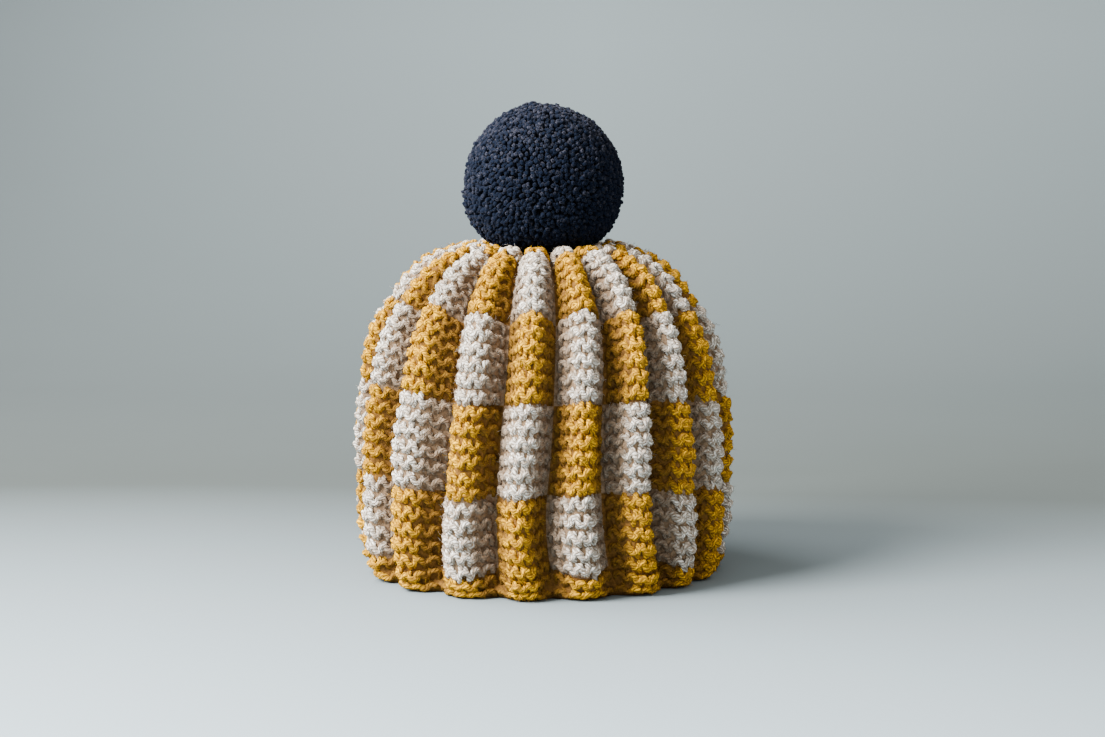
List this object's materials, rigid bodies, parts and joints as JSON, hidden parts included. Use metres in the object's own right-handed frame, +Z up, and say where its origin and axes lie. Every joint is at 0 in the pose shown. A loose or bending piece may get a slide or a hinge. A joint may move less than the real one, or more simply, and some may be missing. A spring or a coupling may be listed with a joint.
{
  "type": "tea cosy",
  "caption": "Knitted tea cosy of two pleated garter-stitch panels, open at the sides for spout and handle, gathered at the crown under a round yarn pompom.",
  "frame": {"origin": "centre of the bounding box's bottom, in the plane of the hem", "axes": "+Z up through the gathered crown to the pompom; -Y out of the front panel; the slits for spout and handle at -X and +X"},
  "size_m": [0.1895, 0.1916, 0.2347],
  "materials": {
    "mustard_yarn": "matte",
    "oatmeal_yarn": "matte",
    "navy_yarn": "matte"
  },
  "bodies": {
    "root": {"front_panel": "mustard_yarn", "back_panel": "mustard_yarn", "pompom": "navy_yarn"}
  },
  "joints": []
}
